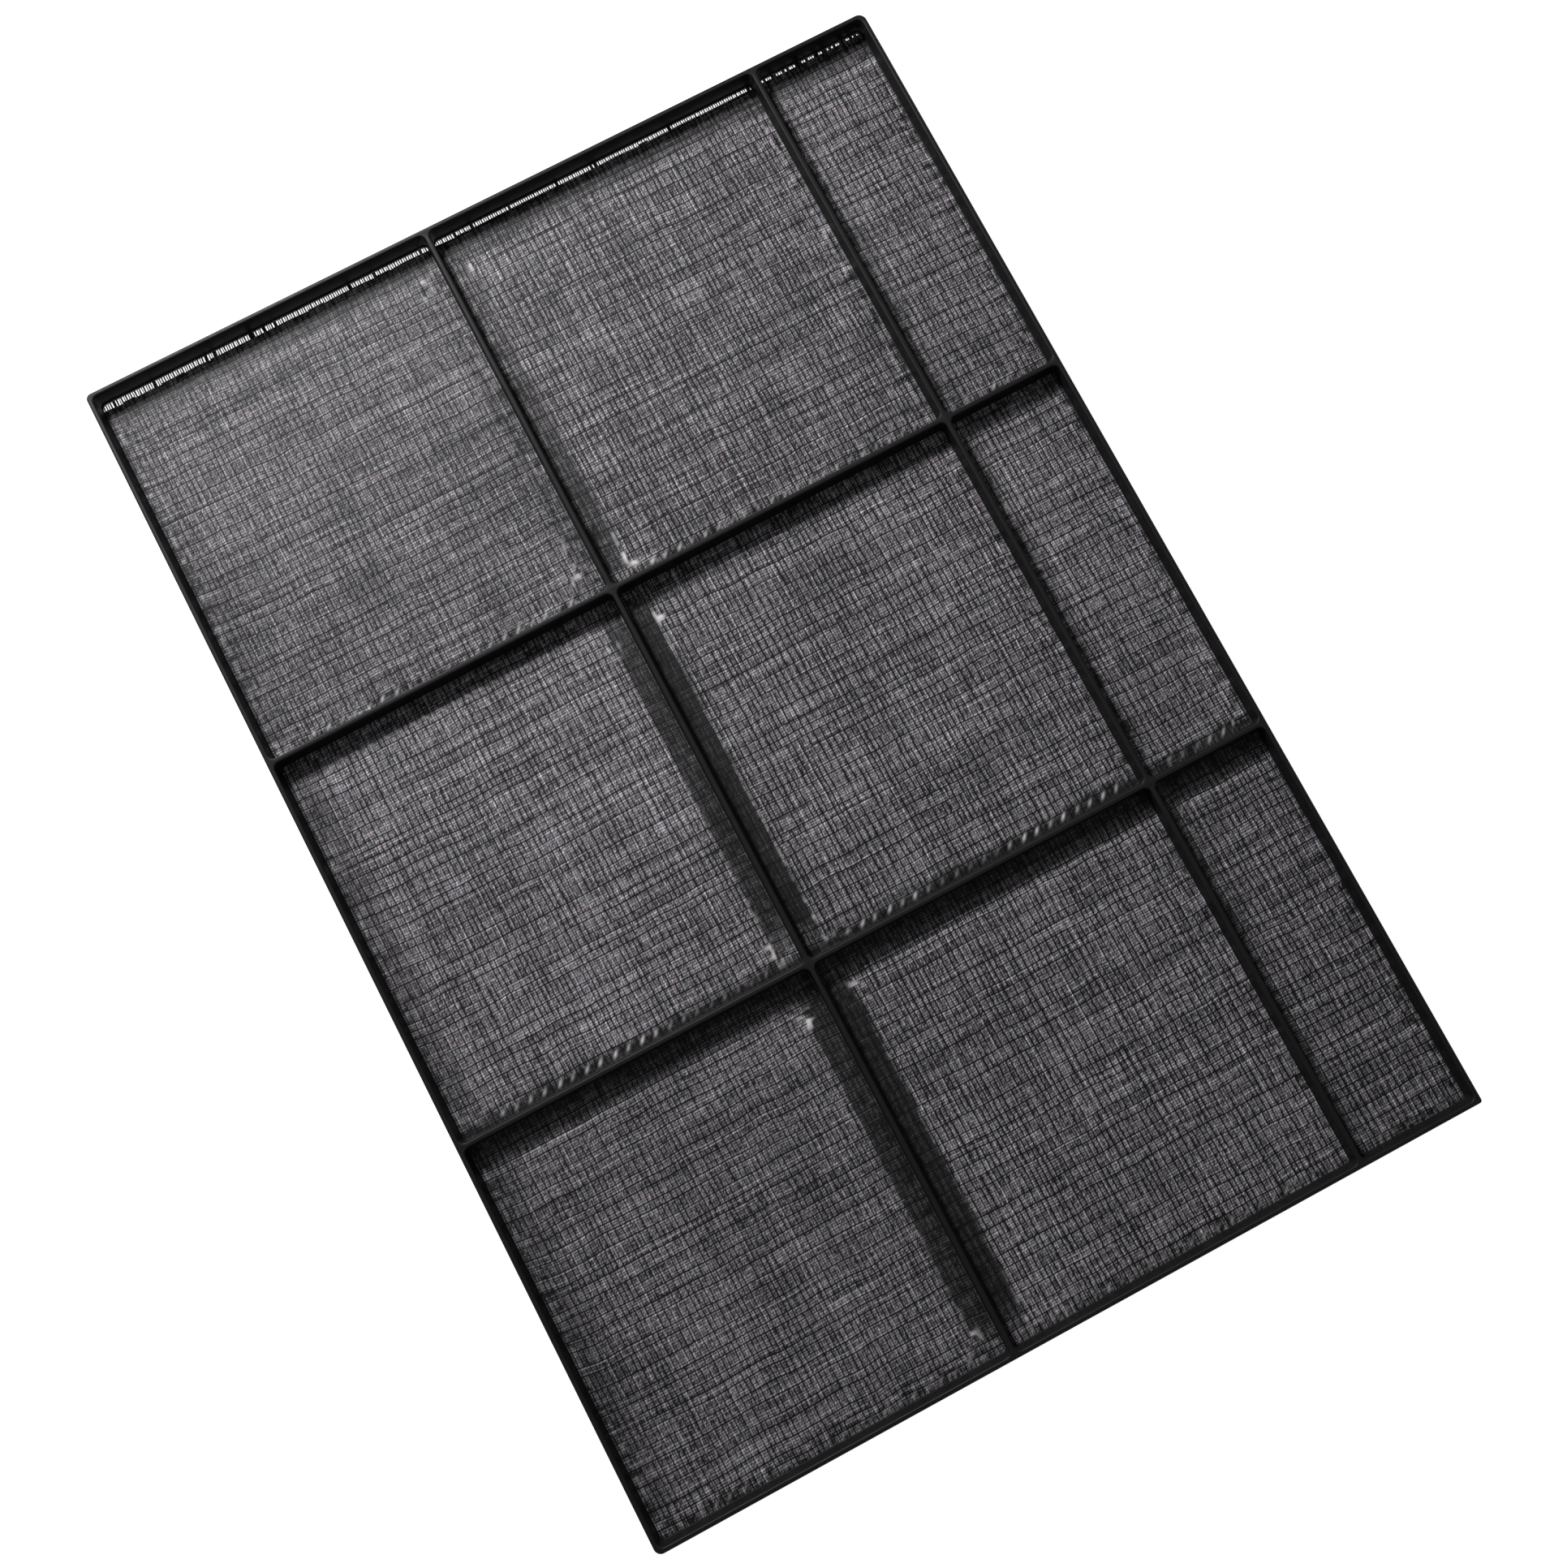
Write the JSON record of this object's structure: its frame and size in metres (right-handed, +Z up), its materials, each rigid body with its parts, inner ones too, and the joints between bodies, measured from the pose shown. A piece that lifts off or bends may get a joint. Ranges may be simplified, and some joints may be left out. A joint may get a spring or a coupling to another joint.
{
  "type": "divided mesh tray",
  "caption": "Shallow rectangular black plastic tray whose thin crossing ribs part its fine woven mesh floor into wide bays and one narrow column of bays.",
  "frame": {"origin": "middle of the underside, on the surface that the tray lies on", "axes": "+X from the left wall towards the narrow right column, +Y from the near wall to the far wall along the tray's length, +Z up, out of the open bays"},
  "size_m": [0.24, 0.34, 0.007],
  "materials": {
    "moulding": "near-black moulded plastic, satin, with a fine moulded grain",
    "mesh": "fine plain-woven dark monofilament mesh with a slight sheen"
  },
  "bodies": {
    "root": {"frame": "moulding", "mesh_near_left": "mesh", "mesh_near_centre": "mesh", "mesh_near_right": "mesh", "mesh_middle_left": "mesh", "mesh_middle_centre": "mesh", "mesh_middle_right": "mesh", "mesh_far_left": "mesh", "mesh_far_centre": "mesh", "mesh_far_right": "mesh"}
  },
  "joints": []
}
